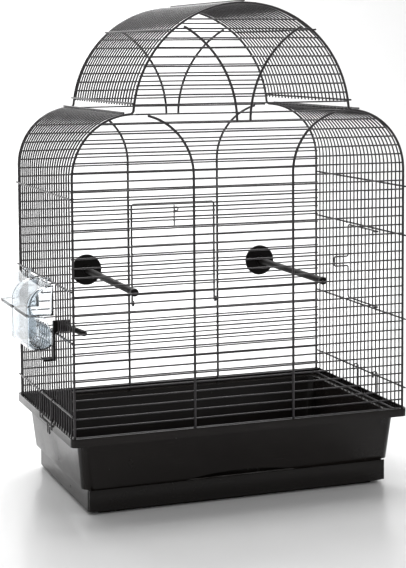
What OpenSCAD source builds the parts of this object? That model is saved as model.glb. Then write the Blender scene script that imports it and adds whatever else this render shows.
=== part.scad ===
/* [Cage] */
// Distance between the corner posts, left to right
cage_w = 500; // [460:5:560]
// Distance between the front and the back panel
cage_d = 306; // [280:2:340]
// Height of the straight corner posts above the rim of the base
post_h = 354; // [340:2:380]
// Bend radius of the two shoulders
shoulder_r = 87.5; // [80:0.5:95]
// Height of the top of the dome above the rim of the base
dome_top = 594; // [580:2:640]
// Spacing of the horizontal wires of the front and back panels
row_pitch = 13; // [12:0.5:15]
// Number of gaps between the upright wires of a side panel
side_gaps = 24; // [20:1:28]

/* [Wires] */
// Diameter of the heavy wires that outline the panels
outline_d = 3.6; // [2.8:0.1:4]
// Diameter of the close-set wires
wire_d = 2.3; // [1.8:0.1:2.4]
// Diameter of the wires that run from front to back
cross_d = 2.8; // [2.3:0.1:3.2]

/* [Doors] */
// Width of the main door in the back panel
door_w = 139; // [110:1:140]
// Row of the panel on which the main door hinges
door_row = 10; // [8:1:12]
// Number of rows that the main door covers
door_rows = 12; // [10:1:13]
// Gap of a side panel at which its opening begins, counted from the front
side_open_gap = 7; // [6:1:8]
// Number of gaps across the side door opening
side_door_gaps = 9; // [7:1:10]
// Number of gaps across the feeder opening
feeder_gaps = 13; // [11:1:14]

/* [Base] */
// Height of the rim of the base above the floor
rim_h = 114; // [105:1:130]
// Height of the lip that stands round the cage
lip_h = 12; // [10:0.5:14]
// Depth of the lip below its top at which the cage stands
ledge_drop = 10; // [8:0.5:10]
// Wall thickness of the plastic base and drawer
shell = 2.5; // [2:0.1:3]
// Height of the plinth that holds the drawer
plinth_h = 36; // [32:1:40]

/* [Fittings] */
// Diameter of a perch
perch_d = 10; // [8:0.5:12]
// Length of a perch from the back panel to its tip
perch_l = 253; // [200:1:260]
// Distance of each perch from the middle of the cage
perch_x = 146; // [130:1:160]
// Row below each perch
perch_row = 14; // [13:1:16]
// Diameter of the disc that clamps a perch to the back panel
disc_d = 48; // [40:1:52]
// Depth of the feeder, outwards from the side panel
feeder_t = 38; // [33:1:46]
// Height of the feeder trough
trough_h = 49; // [44:1:52]
// Wall thickness of the clear feeder
clear_t = 1.8; // [1.5:0.1:2.5]

/* [Hidden] */
$fn = 48;

weld = 0.3;       // depth to which crossing wires sink into each other
gap = 0.3;        // free space between pieces that move past each other
nub = 1.8;        // length by which a wire end stands past the wire it is welded to
swell = 0.3;      // extra thickness of a wire where it is curled into a hook
hair = 0.05;      // free space between pieces of the cage that are tied together

half_w = cage_w / 2;
half_d = cage_d / 2;
shoulder_x = half_w - shoulder_r;
spring_z = rim_h + post_h;
dome_r = shoulder_x;
dome_z = rim_h + dome_top - dome_r;
seat_z = rim_h - ledge_drop + gap;
upright_x = half_w - 2 * shoulder_r;

// Rows sit on the inner side of the heavy wires
row_y = half_d - (outline_d + wire_d) / 2 + weld;
function row_z(k) = rim_h - 1 + k * row_pitch;
top_row = floor((dome_z + dome_r - rim_h - 8) / row_pitch);
shoulder_row = floor((spring_z + shoulder_r - rim_h - 4) / row_pitch);
function row_half(z) =
  z < spring_z ? half_w :
  z < spring_z + shoulder_r - 4 ? shoulder_x + sqrt(pow(shoulder_r, 2) - pow(z - spring_z, 2)) :
  z < dome_z + 14 ? shoulder_x - 6 : sqrt(pow(dome_r, 2) - pow(z - dome_z, 2));

// The small curl between a shoulder and the dome touches both circles
curl_r = 6;
curl_span = norm([shoulder_x, dome_z - spring_z]);
curl_a = (pow(dome_r + curl_r, 2) - pow(shoulder_r + curl_r, 2) + pow(curl_span, 2)) / (2 * curl_span);
curl_h = sqrt(pow(dome_r + curl_r, 2) - pow(curl_a, 2));
curl_ux = shoulder_x / curl_span;
curl_uz = (spring_z - dome_z) / curl_span;
curl_x = curl_a * curl_ux - curl_h * curl_uz;
curl_z = dome_z + curl_a * curl_uz + curl_h * curl_ux;
dome_from = atan2(curl_z - dome_z, curl_x);
shoulder_to = atan2(curl_z - spring_z, curl_x - shoulder_x);

// Side wires stand just outside the posts, and the cross wires outside them
cross_x = half_w + (outline_d + cross_d) / 2 + hair;
side_x = cross_x - (cross_d + wire_d) / 2 + weld;
side_r = side_x - shoulder_x;
side_pitch = cage_d / side_gaps;
function side_y(k) = -half_d + k * side_pitch;
cross_low = rim_h + 30;
open_low = rim_h + 132;
door_high = rim_h + 256;
feeder_high = rim_h + 202;
cross_high = rim_h + 328;
shoulder_cross_a = 9;
roof_cross_a = [8.5, 49, 90, 131, 171.5];
roof_r = dome_r + side_x - half_w;
roof_cross_r = dome_r + cross_x - half_w;

// Main door and its latch
door_d = 3;
door_r = 4.5;
door_y = half_d + (outline_d - door_d) / 2 + 0.7;
door_bottom = row_z(door_row);
door_top = row_z(door_row + door_rows) + 1;
door_infill_y = door_y - (door_d + wire_d) / 2 + weld;
latch_d = 2.2;
latch_y = row_y - (wire_d + latch_d) / 2 - gap;
latch_top = row_z(door_row + door_rows) - wire_d / 2 - gap;
latch_low = door_top - 38;
eye_r = latch_d / 2 + gap + 1.9;
eye_t = 1.4;
tab_r = 4;
tab_z = row_z(door_row + door_rows - 1) + eye_t / 2 + gap + tab_r;

// Side door
side_door_d = 2.4;
side_door_x = side_x + (side_door_d + wire_d) / 2 + 0.5;
side_hinge_y = side_y(side_open_gap);
side_free_y = side_y(side_open_gap + side_door_gaps - 1) + 1.25;
side_door_low = open_low + 4;
side_door_high = door_high - 4;
catch_z = (side_door_low + side_door_high) / 2;
catch_h = 15;
catch_l = 24;

// Base
lip_x = half_w + 6;
lip_y = half_d + 6;
lip_t = 2.5;
ledge_z = rim_h - ledge_drop;
body_top = [half_w - 8, half_d - 8];
body_low = [half_w - 15, half_d - 15];
plinth = [half_w - 23, half_d - 15];
bay_floor = 7;
foot_h = 4;
drawer_gap = 0.4;
drawer_h = plinth_h - bay_floor - 5;
drawer_half = plinth[0] - shell - drawer_gap;
front_t = 3;
pocket_w = 184;
pocket_h = 9.5;
pocket_d = 9;
pocket_r = (pow(pocket_w / 2, 2) + pow(pocket_h, 2)) / (2 * pocket_h);

// Base clips
clip_d = 2.2;
clip_x = lip_x + 0.5 + clip_d / 2;
clip_ring_r = clip_x - cross_x;
clip_front = -half_d + 97;
clip_back = -half_d + 163;
clip_low = rim_h - 6;
clip_loop = 12;

// Feeder
feeder_in = cross_x + cross_d / 2 + 0.6;
feeder_out = feeder_in + feeder_t;
feeder_y0 = side_y(side_open_gap) - 4;
feeder_y1 = side_y(side_open_gap + feeder_gaps) + 5;
trough_low = open_low - 25;
trough_top = trough_low + trough_h;
hood_low = trough_top + 0.5;
hood_top = feeder_high - 3.2;
hood_r = 32;
hook_in = cross_d / 2 + gap;
hook_out = hook_in + 2.2;

// Perches
perch_z = (row_z(perch_row) + row_z(perch_row + 1)) / 2;
disc_t = 5;
stud_d = 7;
disc_in = row_y - wire_d / 2 - gap;
nut_in = row_y + wire_d / 2 + gap;
nut_t = 6;
cap_d = perch_d + 1.6;
cap_l = 9;

// One straight wire along each axis
module wire_x(x0, x1, y, z, d) {
  translate([x0, y, z]) rotate([0, 90, 0]) cylinder(d = d, h = x1 - x0);
}
module wire_y(x, y0, y1, z, d) {
  translate([x, y0, z]) rotate([-90, 0, 0]) cylinder(d = d, h = y1 - y0);
}
module wire_z(x, y, z0, z1, d) {
  translate([x, y, z0]) cylinder(d = d, h = z1 - z0);
}
// A round bend in an upright plane that faces the front
module bend_xz(x, y, z, r, from, to, d) {
  translate([x, y, z]) rotate([90, 0, 0]) rotate([0, 0, from])
    rotate_extrude(angle = to - from) translate([r, 0]) circle(d = d);
}

// A wire bent through the corners of a flat path, each corner rounded to radius r
function turn(a, b, c) = let(u = b - a, v = c - b) atan2(u[0] * v[1] - u[1] * v[0], u * v);
module bent_wire(path, r, d) {
  last = len(path) - 1;
  trims = [for (i = [0:last])
    i == 0 || i == last ? 0 : r * tan(abs(turn(path[i - 1], path[i], path[i + 1])) / 2)];
  for (i = [0:last - 1]) {
    run = path[i + 1] - path[i];
    heading = atan2(run[1], run[0]);
    translate(path[i]) rotate([0, 0, heading]) translate([trims[i], 0, 0]) rotate([0, 90, 0])
      cylinder(d = d, h = norm(run) - trims[i] - trims[i + 1]);
    if (i < last - 1) {
      a = turn(path[i], path[i + 1], path[i + 2]);
      side = a > 0 ? 1 : -1;
      translate(path[i + 1]) rotate([0, 0, heading]) translate([-trims[i + 1], side * r, 0])
        rotate([0, 0, a > 0 ? -90 : 90 + a]) rotate_extrude(angle = abs(a)) translate([r, 0]) circle(d = d);
    }
  }
}

// A box with upright edges rounded to radius r, standing on z
module slab(half, r, z, h) {
  translate([0, 0, z]) linear_extrude(h) {
    square([2 * (half[0] - r), 2 * half[1]], center = true);
    square([2 * half[0], 2 * (half[1] - r)], center = true);
    for (sx = [-1, 1], sy = [-1, 1]) translate([sx * (half[0] - r), sy * (half[1] - r)]) circle(r);
  }
}
// A tub wall that leans inwards from the top outline to the low outline
module tub(top, low, r, z0, z1) {
  hull() {
    slab(low, r, z0, 0.01);
    slab(top, r, z1 - 0.01, 0.01);
  }
}

// Heavy outline wire of an end panel: posts, shoulders, curls and dome in one line
module outline(y) {
  bend_xz(0, y, dome_z, dome_r, dome_from, 180 - dome_from, outline_d);
  for (side = [0, 1]) mirror([side, 0, 0]) {
    wire_z(half_w, y, seat_z, spring_z, outline_d);
    bend_xz(shoulder_x, y, spring_z, shoulder_r, 0, shoulder_to, outline_d);
    bend_xz(curl_x, y, curl_z, curl_r, 180 + dome_from, 180 + shoulder_to, outline_d);
  }
}
// Heavy uprights that bend over into arches, and the two arcs of the dome
module uprights(y) {
  arc_r = dome_r - 10;
  arc_from = row_z(shoulder_row);
  arc_top = acos((arc_r * arc_r + dome_r * dome_r - (dome_r - 3) * (dome_r - 3)) / (2 * arc_r * dome_r));
  for (side = [0, 1]) mirror([side, 0, 0]) {
    wire_z(upright_x, y, seat_z, spring_z, outline_d);
    translate([2 * shoulder_x, 0, 0]) mirror([1, 0, 0])
      bend_xz(shoulder_x, y, spring_z, shoulder_r, 0, 76, outline_d);
    bend_xz(-dome_r, y, arc_from, arc_r, 0, arc_top, outline_d);
  }
}
// Close-set rows; rows from gap_from to gap_to stop at the uprights
module rows(y, gap_from, gap_to) {
  for (k = [0:top_row]) {
    half = row_half(row_z(k)) + nub;
    if (k > gap_from && k < gap_to) {
      wire_x(-half, -upright_x + nub, y, row_z(k), wire_d);
      wire_x(upright_x - nub, half, y, row_z(k), wire_d);
    } else {
      wire_x(-half, half, y, row_z(k), wire_d);
    }
  }
}
module front_panel() {
  color("#1c1a1b") union() {
    outline(-half_d);
    uprights(-half_d);
    rows(-row_y, 0, 0);
  }
}
module back_panel() {
  color("#1c1a1b") union() {
    outline(half_d);
    uprights(half_d);
    rows(row_y, door_row, door_row + door_rows);
  }
}

// Side grille on the right: uprights that bend over the shoulder, tied by cross wires
module side_grille(open_to, open_top, crosses) {
  reach = half_d + 3.5;
  union() {
    for (k = [1:side_gaps - 1]) {
      if (k > side_open_gap && k < open_to) {
        wire_z(side_x, side_y(k), seat_z, open_low + nub, wire_d);
        wire_z(side_x, side_y(k), open_top - nub, spring_z, wire_d);
      } else {
        wire_z(side_x, side_y(k), seat_z, spring_z, wire_d);
      }
      bend_xz(shoulder_x, side_y(k), spring_z, side_r, 0, 90 - shoulder_cross_a + 2, wire_d);
    }
    for (z = crosses) wire_y(cross_x, -reach, reach, z, cross_d);
    wire_y(side_x - (wire_d + cross_d) / 2 + weld, -half_d + 6, half_d - 6, seat_z + 3, cross_d);
    wire_y(shoulder_x + (cross_x - shoulder_x) * sin(shoulder_cross_a), -reach, reach,
      spring_z + (cross_x - shoulder_x) * cos(shoulder_cross_a), cross_d);
  }
}
module right_panel() {
  color("#1c1a1b") side_grille(side_open_gap + side_door_gaps, door_high,
    [cross_low, open_low, door_high, cross_high]);
}
module left_panel() {
  color("#1c1a1b") mirror([1, 0, 0]) side_grille(side_open_gap + feeder_gaps, feeder_high,
    [cross_low, open_low, feeder_high, cross_high]);
}
module roof_panel() {
  reach = half_d + 3.5;
  a = roof_cross_a[0] - 1.2;
  color("#1c1a1b") union() {
    for (k = [1:side_gaps - 1]) bend_xz(0, side_y(k), dome_z, roof_r, a, 180 - a, wire_d);
    for (c = roof_cross_a)
      wire_y(roof_cross_r * cos(c), -reach, reach, dome_z + roof_cross_r * sin(c), cross_d);
  }
}

// Main door: an upside-down U hooked round one row, with its own rows and two eyes for the latch
module main_door() {
  half = door_w / 2;
  hook_r = door_y - row_y;
  low = door_bottom - 0.5;
  color("#1c1a1b") union() {
    translate([0, door_y, 0]) rotate([90, 0, 0])
      bent_wire([[-half, low], [-half, door_top], [half, door_top], [half, low]], door_r, door_d);
    for (side = [-1, 1]) translate([side * half, row_y, door_bottom]) rotate([90, 0, 90])
      rotate([0, 0, -250]) rotate_extrude(angle = 250) translate([hook_r, 0]) circle(d = door_d + swell);
    for (k = [door_row + 1:door_row + door_rows - 1])
      wire_x(-half - nub, half + nub, door_infill_y, row_z(k), wire_d);
    for (k = [door_row + door_rows - 2, door_row + door_rows - 1])
      translate([0, latch_y, row_z(k) - eye_t / 2]) difference() {
        cylinder(r = eye_r, h = eye_t);
        translate([0, 0, -1]) cylinder(d = latch_d + 2 * gap, h = eye_t + 2);
      }
  }
}
// Latch, drawn down: its shank slides up behind the row above the door; a finger ring stands beside it
module door_latch() {
  color("#1c1a1b") difference() {
    union() {
      wire_z(0, latch_y, latch_low, latch_top, latch_d);
      translate([tab_r - 0.6, latch_y + 0.9, tab_z]) rotate([90, 0, 0]) cylinder(r = tab_r, h = 1.8);
    }
    translate([tab_r - 0.2, latch_y + 2, tab_z]) rotate([90, 0, 0]) cylinder(r = tab_r - 1.7, h = 4);
  }
}

// Side door: a frame hooked round one upright, with a catch loop bent inwards
module side_door() {
  half = (side_door_high - side_door_low) / 2;
  loop = catch_h / 2;
  color("#1c1a1b") translate([0, 0, catch_z]) union() {
    for (flip = [0, 1]) mirror([0, 0, flip]) {
      translate([side_door_x, 0, 0]) rotate([90, 0, 90])
        bent_wire([[side_hinge_y - 0.5, half], [side_free_y, half], [side_free_y, loop + 3]], 5, side_door_d);
      translate([side_x, side_hinge_y, half]) rotate([0, 0, -270]) rotate_extrude(angle = 270)
        translate([side_door_x - side_x, 0]) circle(d = side_door_d + swell);
    }
    translate([side_door_x, side_free_y, 0]) rotate([90, 0, 0])
      bent_wire([[0, loop + 3], [0, loop], [-catch_l, loop], [-catch_l, -loop], [0, -loop], [0, -loop - 3]],
        2.9, side_door_d);
    for (k = [side_open_gap + 1:side_open_gap + side_door_gaps - 2])
      wire_z(side_door_x - (side_door_d + wire_d) / 2 + weld, side_y(k), -half - nub, half + nub, wire_d);
  }
}

// Base clip on the right: a bail on the lowest cross wire, with a finger loop
module clip() {
  mid = clip_front + 8;
  union() {
    translate([clip_x, 0, 0]) rotate([90, 0, 90])
      bent_wire([[clip_back, cross_low], [clip_back, clip_low], [mid + 14, clip_low],
        [mid + 14, clip_low - clip_loop], [mid + 3, clip_low - clip_loop], [mid + 3, clip_low],
        [clip_front, clip_low], [clip_front, cross_low]], 2.5, clip_d);
    for (y = [clip_front, clip_back]) translate([cross_x, y, cross_low]) rotate([90, 0, 0])
      rotate_extrude(angle = 250) translate([clip_ring_r, 0]) circle(d = clip_d);
  }
}
module right_clip() {
  color("#2a2829") clip();
}
module left_clip() {
  color("#2a2829") mirror([1, 0, 0]) clip();
}

// Perch: a rod and a disc on the inside of the back panel, a stud through it
module perch(x) {
  color("#232122") translate([x, 0, perch_z]) rotate([90, 0, 0]) union() {
    translate([0, 0, -nut_in - nut_t + 1]) cylinder(d = stud_d, h = nut_in + nut_t - disc_in);
    translate([0, 0, -disc_in]) cylinder(d = disc_d, h = disc_t - 1.5);
    translate([0, 0, -disc_in + disc_t - 1.5]) cylinder(d1 = disc_d, d2 = disc_d - 4, h = 1.5);
    translate([0, 0, -disc_in + disc_t]) cylinder(d = perch_d + 5, h = 5);
    translate([0, 0, -disc_in + disc_t]) cylinder(d = perch_d, h = perch_l - disc_t - cap_l / 2);
  }
}
module left_perch() {
  perch(-perch_x);
}
module right_perch() {
  perch(perch_x);
}
module perch_caps() {
  socket = [perch_d / 2 + hair, cap_l / 2 + hair];
  color("#151414") for (x = [-perch_x, perch_x])
    translate([x, disc_in - perch_l + cap_l, perch_z]) rotate([90, 0, 0]) rotate_extrude()
      polygon([[0, socket[1]], socket, [socket[0], 0], [cap_d / 2, 0],
        for (a = [0:15:90]) [cap_d / 2 - 3 + 3 * cos(a), cap_l - 3 + 3 * sin(a)], [0, cap_l]]);
}
// Nut with a scalloped edge on the outside of the back panel
module perch_nut(x) {
  nut_r = 20;
  color("#232122") translate([x, 0, perch_z]) rotate([-90, 0, 0]) difference() {
    translate([0, 0, nut_in]) cylinder(r = nut_r, h = nut_t);
    translate([0, 0, nut_in - 1]) cylinder(d = stud_d + 0.16, h = nut_t + 2);
    for (a = [0:45:315]) rotate([0, 0, a]) translate([nut_r + 3, 0, nut_in - 1])
      cylinder(r = 5, h = nut_t + 2);
  }
}
module left_perch_nut() {
  perch_nut(-perch_x);
}
module right_perch_nut() {
  perch_nut(perch_x);
}

// Clear trough with a partition, lower on the side of the birds
module feeder_trough() {
  len_y = feeder_y1 - feeder_y0;
  bird_wall = 28;
  r = 9;
  color([0.85, 0.9, 0.93, 0.4]) difference() {
    translate([-feeder_out, feeder_y1, trough_low]) rotate([90, 0, 0]) linear_extrude(len_y)
      trough_profile(0, r, feeder_t, bird_wall);
    for (half = [0, 1]) {
      room = (len_y - 3 * clear_t) / 2;
      translate([-feeder_out, feeder_y1 - clear_t - half * (room + clear_t), trough_low]) rotate([90, 0, 0])
        linear_extrude(room) trough_profile(clear_t, r - clear_t, feeder_t, bird_wall);
    }
  }
}
// Cross-section of the trough, drawn in by t; its two lower edges are round
module trough_profile(t, r, w, bird_wall) {
  top = t > 0 ? trough_h + 1 : trough_h;
  difference() {
    union() {
      translate([t, t + r]) square([w - 2 * t, top - t - r]);
      translate([t + r, t]) square([w - 2 * t - 2 * r, r + 1]);
      for (x = [t + r, w - t - r]) translate([x, t + r]) circle(r);
    }
    if (t == 0) translate([w - clear_t - 0.01, bird_wall]) square([clear_t + 1, trough_h]);
  }
}
// Clear hood with a round shoulder, open below and towards the birds
module feeder_hood() {
  len_y = feeder_y1 - feeder_y0;
  color([0.85, 0.9, 0.93, 0.4]) difference() {
    translate([-feeder_out, feeder_y1, 0]) rotate([90, 0, 0]) linear_extrude(len_y) hood_profile(0);
    for (half = [0, 1]) {
      room = (len_y - 3 * clear_t) / 2;
      translate([-feeder_out, feeder_y1 - clear_t - half * (room + clear_t), 0]) rotate([90, 0, 0])
        linear_extrude(room) hood_profile(clear_t);
    }
  }
}
module hood_profile(t) {
  reach = t > 0 ? 1 : 0;
  rise = hood_top - hood_r - hood_low;
  translate([t, hood_low - reach]) square([feeder_t - t + reach, rise + reach]);
  translate([hood_r, hood_low]) square([feeder_t - hood_r + reach, hood_top - t - hood_low]);
  intersection() {
    translate([hood_r, hood_top - hood_r]) circle(hood_r - t);
    translate([0, hood_top - hood_r - 0.5]) square([hood_r + 0.5, hood_r + 1]);
  }
}
// Two hooks that carry the hood on the cross wire above the opening
module hood_hooks() {
  width = 7;
  rest = hood_top - feeder_high + 0.02;
  color([0.85, 0.9, 0.93, 0.4]) for (k = [side_open_gap + 2.5, side_open_gap + feeder_gaps - 2.5])
    translate([-cross_x, side_y(k) + width / 2, feeder_high]) rotate([90, 0, 0])
      linear_extrude(width) difference() {
      union() {
        circle(hook_out);
        translate([-13, hook_in - 0.1]) square([13, hook_out - hook_in + 0.1]);
        translate([-13, rest]) square([2.2, hook_out - rest]);
      }
      circle(hook_in);
      translate([-1.2, -hook_out - 1]) square([hook_out + 3, hook_out + 1]);
      translate([-hook_out - 1, -hook_out - 1]) square([2 * hook_out, hook_out + 1 + rest]);
    }
}
// Black bracket beside the trough: a strip outside the grille, a foot under the trough, a block inside
module feeder_bracket() {
  front = side_y(side_open_gap - 1) + wire_d / 2 + 1;
  width = feeder_y0 - gap - front;
  over_wire = cross_d / 2 + gap;
  skin = cross_x + cross_d / 2 + gap;
  strip_t = 2.8;
  foot_z = open_low - 39;
  color("#1b1a1a") union() {
    translate([-skin - strip_t, front, foot_z]) cube([strip_t, width, 57]);
    translate([-skin - 17, front, foot_z]) cube([17, width + 14, 2.6]);
    translate([-skin - 1, front, open_low + over_wire])
      cube([skin + 1 - half_w + 17, width, 18 - over_wire]);
  }
}
// Short landing perch on the bracket, with a round tip
module feeder_perch() {
  rod_r = 4;
  color("#1b1a1a") translate([-half_w + 11, side_y(side_open_gap - 1) + wire_d / 2 + 0.9, open_low + 9])
    rotate([90, 0, 8]) rotate_extrude()
      polygon([[0, 0], [rod_r, 0], for (a = [0:15:90]) [rod_r * cos(a), 62 + rod_r * sin(a)]]);
}

// Base: lip and ledge for the cage, a leaning wall, a plinth open at the front, a finger pocket over it
module base() {
  bay = [plinth[0] - shell, plinth[1]];
  run_out = 8;
  color("#1f1d1c") difference() {
    union() {
      difference() {
        union() {
          slab([lip_x, lip_y], 8, rim_h - lip_h, lip_h);
          tub(body_top, body_low, 12, plinth_h, rim_h - lip_h + 1);
          slab(plinth, 8, foot_h, plinth_h - foot_h + 0.5);
          slab([plinth[0] - 15, plinth[1] - 6], 8, 0, foot_h + 0.5);
        }
        slab([lip_x - lip_t, lip_y - lip_t], 6, ledge_z, ledge_drop + 1);
        tub(body_top - [shell, shell], body_low - [shell, shell], 10, plinth_h, ledge_z + 1);
        translate([-bay[0], -plinth[1] - 1, bay_floor])
          cube([2 * bay[0], 2 * plinth[1] + 1 - shell, plinth_h - bay_floor - shell]);
        translate([-bay[0] + 6, -bay[1] + 6, plinth_h - shell - 1])
          cube([2 * bay[0] - 12, 2 * bay[1] - 12 - shell, shell + 2]);
      }
      translate([-pocket_w / 2 - shell, -plinth[1] + 0.5, plinth_h - shell])
        cube([pocket_w + 2 * shell, pocket_d + shell, pocket_h + 2 * shell]);
    }
    intersection() {
      translate([0, -plinth[1] + pocket_d, plinth_h - shell + pocket_h - pocket_r]) rotate([90, 0, 0])
        cylinder(r = pocket_r, h = 2 * pocket_d, $fn = 360);
      translate([-pocket_w / 2 - run_out, -plinth[1] - pocket_d, plinth_h - shell - 1])
        cube([pocket_w + 2 * run_out, 2 * pocket_d, pocket_h + 2]);
    }
  }
}
// Drawer: a shallow pan with a front that covers the plinth opening
module drawer() {
  low = bay_floor + drawer_gap;
  back = plinth[1] - shell - 2;
  front = -plinth[1] - drawer_gap;
  color("#1a1918") difference() {
    union() {
      translate([-drawer_half, front, low]) cube([2 * drawer_half, back - front, drawer_h]);
      translate([0, front - front_t / 2, 0])
        slab([plinth[0], front_t / 2], 1.2, foot_h + 1.5, plinth_h - foot_h - 2.5);
    }
    translate([-drawer_half + shell, front + shell, low + shell])
      cube([2 * (drawer_half - shell), back - front - 2 * shell, drawer_h]);
  }
}

base();
drawer();
front_panel();
back_panel();
left_panel();
right_panel();
roof_panel();
main_door();
door_latch();
side_door();
left_clip();
right_clip();
left_perch();
right_perch();
perch_caps();
left_perch_nut();
right_perch_nut();
feeder_trough();
feeder_hood();
hood_hooks();
feeder_bracket();
feeder_perch();
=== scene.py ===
"""Looks of a table-top bird cage: welded wire panels, doors, perches, clear feeder, base and drawer.

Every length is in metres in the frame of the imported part: +Z up, +X to the right, -Y to the drawer
front.
"""

import logging
import math
from dataclasses import dataclass, field
from enum import Enum

import bmesh
import bpy
import numpy as np
from mathutils import Matrix, Vector


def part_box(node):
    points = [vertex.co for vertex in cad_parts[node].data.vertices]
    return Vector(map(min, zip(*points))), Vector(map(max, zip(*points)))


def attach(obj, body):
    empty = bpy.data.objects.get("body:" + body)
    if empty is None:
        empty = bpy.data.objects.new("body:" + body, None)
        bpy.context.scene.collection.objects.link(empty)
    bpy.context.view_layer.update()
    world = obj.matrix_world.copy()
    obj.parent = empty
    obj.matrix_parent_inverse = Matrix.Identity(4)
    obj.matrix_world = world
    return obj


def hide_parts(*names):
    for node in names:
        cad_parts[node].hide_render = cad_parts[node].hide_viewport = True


log = logging.getLogger("bird_cage")
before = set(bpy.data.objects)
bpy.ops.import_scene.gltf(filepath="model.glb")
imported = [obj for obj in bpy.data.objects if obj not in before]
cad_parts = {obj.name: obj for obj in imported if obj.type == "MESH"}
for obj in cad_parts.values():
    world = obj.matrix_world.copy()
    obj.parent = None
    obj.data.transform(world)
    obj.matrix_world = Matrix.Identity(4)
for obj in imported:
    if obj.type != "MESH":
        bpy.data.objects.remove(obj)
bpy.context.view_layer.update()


class Slot(Enum):
    """Material slots of the record that the pieces take their finish from."""

    WIRE = "wire"
    BASE = "base_plastic"
    DRAWER = "drawer_plastic"
    BLACK = "black_plastic"
    CLEAR = "clear_plastic"


class Graph:
    """One material's node tree, with short calls to add and join nodes."""

    def __init__(self, name: str) -> None:
        """Starts a material with a Principled shader and object coordinates.

        Args:
            name: Name of the new material.
        """
        self.material = bpy.data.materials.new(name)
        self.material.use_nodes = True
        self.tree = self.material.node_tree
        self.shader = self.tree.nodes["Principled BSDF"]
        self.place = self.tree.nodes.new("ShaderNodeTexCoord").outputs["Object"]

    def node(self, kind: str, **values: object) -> bpy.types.Node:
        """Adds one node.

        Args:
            kind: Node type name without the leading ShaderNode.
            **values: Attributes of the node to set.

        Returns:
            The new node.
        """
        made = self.tree.nodes.new("ShaderNode" + kind)
        for key, value in values.items():
            setattr(made, key, value)
        return made

    def join(self, source: bpy.types.NodeSocket, target: bpy.types.NodeSocket) -> None:
        """Links one output socket to one input socket."""
        self.tree.links.new(source, target)

    def noise(self, scale: float, detail: float = 3.0, stretch: tuple = (1, 1, 1), rough: float = 0.55):
        """Adds a noise pattern in object space.

        Args:
            scale: Features per metre, roughly.
            detail: Octaves of finer noise.
            stretch: Factor of the coordinates along each axis.
            rough: How strong the finer octaves are.

        Returns:
            The pattern's output socket, with values from 0 to 1.
        """
        mapping = self.node("Mapping")
        mapping.inputs["Scale"].default_value = stretch
        self.join(self.place, mapping.inputs["Vector"])
        pattern = self.node("TexNoise")
        pattern.inputs["Scale"].default_value = scale
        pattern.inputs["Detail"].default_value = detail
        pattern.inputs["Roughness"].default_value = rough
        self.join(mapping.outputs["Vector"], pattern.inputs["Vector"])
        return pattern.outputs["Fac"]

    def spread(self, value, low: float, high: float, out_low: float = 0.0, out_high: float = 1.0):
        """Maps a value from one range to another, clamped.

        Args:
            value: Output socket with the value.
            low: Start of the range read.
            high: End of the range read.
            out_low: Result at the start.
            out_high: Result at the end.

        Returns:
            The result's output socket.
        """
        ranged = self.node("MapRange")
        for name, number in zip(
            ("From Min", "From Max", "To Min", "To Max"), (low, high, out_low, out_high)
        ):
            ranged.inputs[name].default_value = number
        self.join(value, ranged.inputs["Value"])
        return ranged.outputs["Result"]

    def times(self, a, b):
        """Multiplies two values and returns the product's socket."""
        product = self.node("Math", operation="MULTIPLY")
        self.join(a, product.inputs[0])
        self.join(b, product.inputs[1])
        return product.outputs["Value"]

    def blend(self, factor, a, b):
        """Mixes two colours.

        Args:
            factor: Output socket with the share of the second colour.
            a: First colour, as a tuple or an output socket.
            b: Second colour, as a tuple or an output socket.

        Returns:
            The mixed colour's output socket.
        """
        mix = self.node("Mix", data_type="RGBA")
        self.join(factor, mix.inputs["Factor"])
        for colour, socket in ((a, mix.inputs["A"]), (b, mix.inputs["B"])):
            if isinstance(colour, tuple):
                socket.default_value = (*colour, 1.0)
            else:
                self.join(colour, socket)
        return mix.outputs["Result"]

    def facing_up(self):
        """Returns a value that is 1 on faces that look up and 0 on the others."""
        split = self.node("SeparateXYZ")
        self.join(self.node("NewGeometry").outputs["Normal"], split.inputs["Vector"])
        return self.spread(split.outputs["Z"], 0.35, 0.95)

    def bump(self, heights: list[tuple[object, float]]) -> None:
        """Stacks bumps on the shader's normal.

        Args:
            heights: Pairs of a pattern's socket and its depth in metres.
        """
        below = None
        for value, depth in heights:
            relief = self.node("Bump")
            relief.inputs["Strength"].default_value = 1.0
            relief.inputs["Distance"].default_value = depth
            self.join(value, relief.inputs["Height"])
            if below is not None:
                self.join(below, relief.inputs["Normal"])
            below = relief.outputs["Normal"]
        self.join(below, self.shader.inputs["Normal"])


@dataclass(frozen=True)
class PowderCoat:
    """Baked powder coat on steel wire: near-black satin with an orange-peel skin and a little dust."""

    name: str = "wire_powder_coat"
    dark: tuple = (0.0085, 0.006, 0.0075)
    pale: tuple = (0.0165, 0.0115, 0.0145)
    dust: tuple = (0.13, 0.125, 0.12)
    dust_share: float = 0.10

    def material(self) -> bpy.types.Material:
        """Builds the finish."""
        g = Graph(self.name)
        tone = g.blend(g.spread(g.noise(55, 4), 0.35, 0.68), self.dark, self.pale)
        specks = g.spread(g.noise(900, 2), 0.66, 0.74)
        tone = g.blend(g.times(specks, g.noise(30, 2)), tone, (0.032, 0.03, 0.03))
        film = g.times(g.facing_up(), g.spread(g.noise(140, 5), 0.45, 0.8, 0.0, self.dust_share))
        tone = g.blend(film, tone, self.dust)
        g.join(tone, g.shader.inputs["Base Color"])
        g.join(g.spread(g.noise(210, 4), 0.3, 0.72, 0.27, 0.47), g.shader.inputs["Roughness"])
        g.shader.inputs["Coat Weight"].default_value = 0.25
        g.shader.inputs["Coat Roughness"].default_value = 0.22
        g.bump([(g.noise(700, 2), 0.00006), (g.noise(2600, 2), 0.000015)])
        return g.material


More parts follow.
